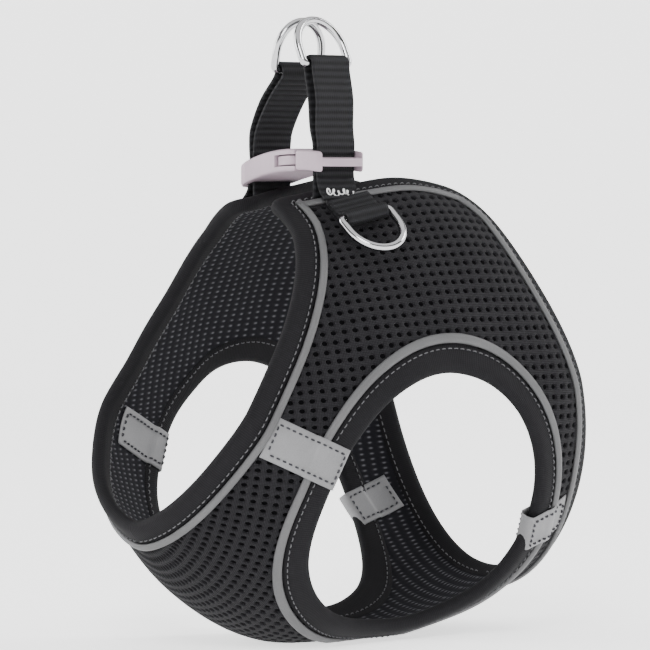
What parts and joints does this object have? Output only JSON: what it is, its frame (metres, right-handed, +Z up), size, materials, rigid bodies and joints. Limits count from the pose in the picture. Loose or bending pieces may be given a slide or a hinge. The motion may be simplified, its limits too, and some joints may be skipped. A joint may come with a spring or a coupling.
{
  "type": "dog harness vest",
  "caption": "Step-in air-mesh harness vest for a small dog, with bound edges, reflective piping and tapes, back straps, D-rings and a side-release buckle.",
  "frame": {"origin": "on the flat of the keel where the part rests, on the mirror plane", "axes": "-Y is the way the dog faces, +X is the dog's left, +Z is up"},
  "size_m": [0.1468, 0.1867, 0.2479],
  "materials": {
    "mesh_fabric": "black air-mesh knit, matte",
    "binding": "black ribbed edge tape",
    "reflective": "grey reflective tape, slightly glossy",
    "webbing": "black ribbed polyester webbing",
    "chrome": "polished nickel plate",
    "plastic": "mauve-grey moulded acetal, satin"
  },
  "bodies": {
    "belly": {"belly_panel": "mesh_fabric", "neck_binding": "binding", "hem_binding": "binding", "neck_piping": "reflective", "hem_piping": "reflective"},
    "left_side": {"left_side_panel": "mesh_fabric", "left_edge_binding": "binding", "left_edge_piping": "reflective", "left_leg_binding": "binding", "left_leg_piping": "reflective", "left_front_tape": "reflective", "left_rear_tape": "reflective", "left_strap": "webbing", "left_ring_tab": "webbing", "buckle_male_base": "plastic"},
    "right_side": {"right_side_panel": "mesh_fabric", "right_edge_binding": "binding", "right_edge_piping": "reflective", "right_leg_binding": "binding", "right_leg_piping": "reflective", "right_front_tape": "reflective", "right_rear_tape": "reflective", "right_strap": "webbing", "right_ring_tab": "webbing", "buckle_female_shell": "plastic"},
    "front_prong": {"buckle_front_prong": "plastic"},
    "rear_prong": {"buckle_rear_prong": "plastic"},
    "left_top_ring": {"left_top_ring": "chrome"},
    "right_top_ring": {"right_top_ring": "chrome"},
    "left_side_ring": {"left_side_ring": "chrome"},
    "right_side_ring": {"right_side_ring": "chrome"}
  },
  "joints": [
    {"name": "left_side_open", "type": "hinge", "parent": "belly", "child": "left_side", "pos_m": [0.016, 0, 0], "axis": [0, 1, 0], "range_deg": [0, 30]},
    {"name": "right_side_open", "type": "hinge", "parent": "belly", "child": "right_side", "pos_m": [-0.016, 0, 0], "axis": [0, -1, 0], "range_deg": [0, 30]},
    {"name": "front_prong_press", "type": "hinge", "parent": "left_side", "child": "front_prong", "pos_m": [0.0128, -0.0189, 0.189], "axis": [0, 0, -1], "range_deg": [0, 8], "stiffness_Nm_per_rad": 0.02},
    {"name": "rear_prong_press", "type": "hinge", "parent": "left_side", "child": "rear_prong", "pos_m": [0.0128, -0.0031, 0.189], "axis": [0, 0, 1], "range_deg": [0, 8], "stiffness_Nm_per_rad": 0.02},
    {"name": "left_top_ring_swing", "type": "hinge", "parent": "left_side", "child": "left_top_ring", "pos_m": [0.0162, -0.011, 0.229], "axis": [0, 1, 0], "range_deg": [0, 90]},
    {"name": "right_top_ring_swing", "type": "hinge", "parent": "right_side", "child": "right_top_ring", "pos_m": [-0.003, -0.011, 0.227], "axis": [0, -1, 0], "range_deg": [0, 90]},
    {"name": "left_side_ring_lift", "type": "hinge", "parent": "left_side", "child": "left_side_ring", "pos_m": [0.0386, -0.00947, 0.16981], "axis": [-0.1116, -0.9718, -0.208], "range_deg": [0, 90]},
    {"name": "right_side_ring_lift", "type": "hinge", "parent": "right_side", "child": "right_side_ring", "pos_m": [-0.0386, -0.00947, 0.16981], "axis": [-0.1116, 0.9718, 0.208], "range_deg": [0, 90]}
  ],
  "couplings": [
    {"joint": "rear_prong_press", "follows": "front_prong_press", "ratio": 1}
  ]
}
